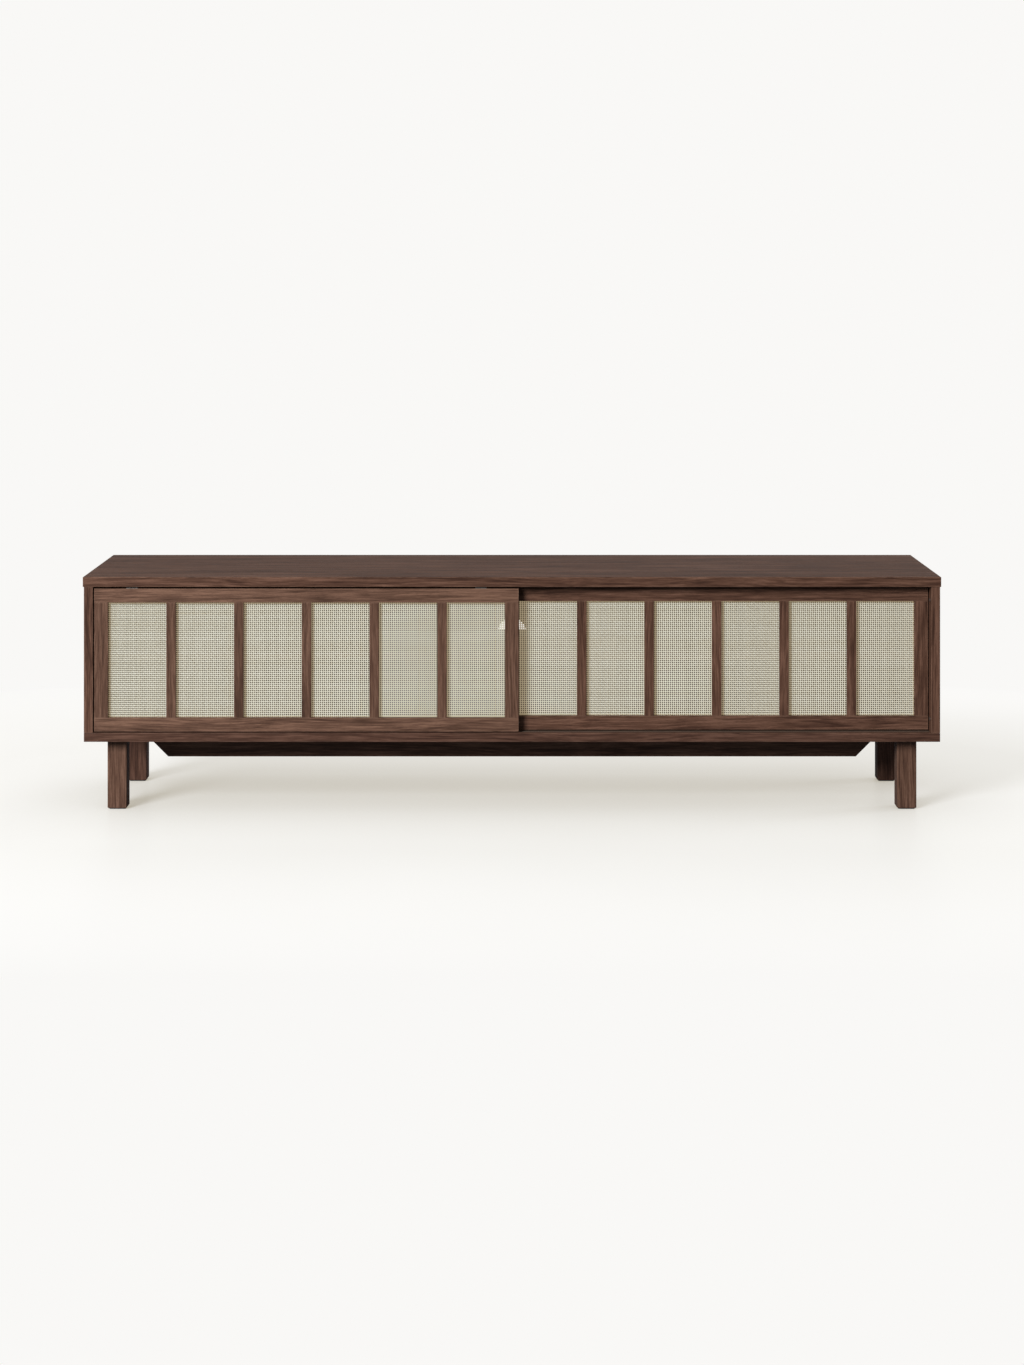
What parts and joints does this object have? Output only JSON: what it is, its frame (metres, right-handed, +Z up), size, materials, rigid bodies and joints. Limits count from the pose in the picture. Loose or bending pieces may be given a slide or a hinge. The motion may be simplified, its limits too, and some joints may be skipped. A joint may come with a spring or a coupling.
{
  "type": "media cabinet",
  "caption": "Long low media cabinet on square legs, with two bypass sliding doors of wood-framed cane webbing.",
  "frame": {"origin": "on the floor, under the middle of the top panel", "axes": "+X right along the front, +Y to the back, +Z up; the doors face -Y"},
  "size_m": [1.8, 0.4, 0.495],
  "materials": {
    "case_wood": "dark stained oak veneer, satin",
    "door_wood": "dark stained solid oak, satin",
    "inside_wood": "dark stained veneer inside the case",
    "back_board": "thin veneered board",
    "hidden_wood": "bare beech",
    "cane": "natural cane webbing, square mesh",
    "cane_bead": "natural reed spline",
    "guide_plastic": "grey moulded acetal",
    "track_plastic": "dark brown extruded plastic",
    "roller_plastic": "white nylon",
    "zinc_steel": "zinc plated",
    "buffer_rubber": "translucent buffer",
    "glide_plastic": "black nylon"
  },
  "bodies": {
    "carcass": {"top_panel": "case_wood", "bottom_panel": "case_wood", "left_side_panel": "case_wood", "right_side_panel": "case_wood", "centre_divider": "inside_wood", "back_panel": "back_board", "left_shelf": "inside_wood", "right_shelf": "inside_wood", "front_left_leg": "case_wood", "front_right_leg": "case_wood", "rear_left_leg": "case_wood", "rear_right_leg": "case_wood", "stiffener_beam": "case_wood", "shelf_pins": "zinc_steel", "case_dowels": "hidden_wood", "cam_bolts": "zinc_steel", "cam_locks": "zinc_steel", "back_panel_screws": "zinc_steel", "beam_screws": "zinc_steel", "leg_studs": "zinc_steel", "leg_inserts": "zinc_steel", "foot_glides": "glide_plastic", "door_buffers": "buffer_rubber", "lower_track": "track_plastic", "upper_track": "track_plastic"},
    "front_door": {"front_door_bottom_rail": "door_wood", "front_door_top_rail": "door_wood", "front_door_left_stile": "door_wood", "front_door_right_stile": "door_wood", "front_door_muntins": "door_wood", "front_door_dowels": "hidden_wood", "front_door_cane": "cane", "front_door_cane_beads": "cane_bead", "front_door_roller_axles": "zinc_steel", "front_door_roller_housings": "guide_plastic", "front_door_guide_housings": "guide_plastic", "front_door_left_guide_spring": "zinc_steel", "front_door_right_guide_spring": "zinc_steel"},
    "front_door_left_roller": {"front_door_left_roller": "roller_plastic"},
    "front_door_left_guide_plunger": {"front_door_left_guide_plunger": "guide_plastic"},
    "front_door_right_roller": {"front_door_right_roller": "roller_plastic"},
    "front_door_right_guide_plunger": {"front_door_right_guide_plunger": "guide_plastic"},
    "rear_door": {"rear_door_bottom_rail": "door_wood", "rear_door_top_rail": "door_wood", "rear_door_left_stile": "door_wood", "rear_door_right_stile": "door_wood", "rear_door_muntins": "door_wood", "rear_door_dowels": "hidden_wood", "rear_door_cane": "cane", "rear_door_cane_beads": "cane_bead", "rear_door_roller_axles": "zinc_steel", "rear_door_roller_housings": "guide_plastic", "rear_door_guide_housings": "guide_plastic", "rear_door_left_guide_spring": "zinc_steel", "rear_door_right_guide_spring": "zinc_steel", "rear_door_spacer_pad": "buffer_rubber"},
    "rear_door_left_roller": {"rear_door_left_roller": "roller_plastic"},
    "rear_door_left_guide_plunger": {"rear_door_left_guide_plunger": "guide_plastic"},
    "rear_door_right_roller": {"rear_door_right_roller": "roller_plastic"},
    "rear_door_right_guide_plunger": {"rear_door_right_guide_plunger": "guide_plastic"}
  },
  "joints": [
    {"name": "front_door_slide", "type": "slide", "parent": "carcass", "child": "front_door", "axis": [1, 0, 0], "range_m": [0, 0.863]},
    {"name": "front_door_left_roller_spin", "type": "hinge", "parent": "front_door", "child": "front_door_left_roller", "pos_m": [-0.798, -0.1855, 0.1723], "axis": [0, 1, 0], "continuous": true},
    {"name": "front_door_left_guide_plunger_lift", "type": "slide", "parent": "front_door", "child": "front_door_left_guide_plunger", "axis": [0, 0, 1], "range_m": [-0.006, 0.001], "stiffness_N_per_m": 250, "deforming": ["front_door_left_guide_spring"]},
    {"name": "front_door_right_roller_spin", "type": "hinge", "parent": "front_door", "child": "front_door_right_roller", "pos_m": [-0.065, -0.1855, 0.1723], "axis": [0, 1, 0], "continuous": true},
    {"name": "front_door_right_guide_plunger_lift", "type": "slide", "parent": "front_door", "child": "front_door_right_guide_plunger", "axis": [0, 0, 1], "range_m": [-0.006, 0.001], "stiffness_N_per_m": 250, "deforming": ["front_door_right_guide_spring"]},
    {"name": "rear_door_slide", "type": "slide", "parent": "carcass", "child": "rear_door", "axis": [1, 0, 0], "range_m": [-0.863, 0]},
    {"name": "rear_door_left_roller_spin", "type": "hinge", "parent": "rear_door", "child": "rear_door_left_roller", "pos_m": [0.065, -0.163, 0.1723], "axis": [0, 1, 0], "continuous": true},
    {"name": "rear_door_left_guide_plunger_lift", "type": "slide", "parent": "rear_door", "child": "rear_door_left_guide_plunger", "axis": [0, 0, 1], "range_m": [-0.006, 0.001], "stiffness_N_per_m": 250, "deforming": ["rear_door_left_guide_spring"]},
    {"name": "rear_door_right_roller_spin", "type": "hinge", "parent": "rear_door", "child": "rear_door_right_roller", "pos_m": [0.798, -0.163, 0.1723], "axis": [0, 1, 0], "continuous": true},
    {"name": "rear_door_right_guide_plunger_lift", "type": "slide", "parent": "rear_door", "child": "rear_door_right_guide_plunger", "axis": [0, 0, 1], "range_m": [-0.006, 0.001], "stiffness_N_per_m": 250, "deforming": ["rear_door_right_guide_spring"]}
  ],
  "couplings": [
    {"joint": "front_door_left_roller_spin", "follows": "front_door_slide", "rad_per_m": 111.11},
    {"joint": "front_door_right_roller_spin", "follows": "front_door_slide", "rad_per_m": 111.11},
    {"joint": "rear_door_left_roller_spin", "follows": "rear_door_slide", "rad_per_m": 111.11},
    {"joint": "rear_door_right_roller_spin", "follows": "rear_door_slide", "rad_per_m": 111.11}
  ]
}
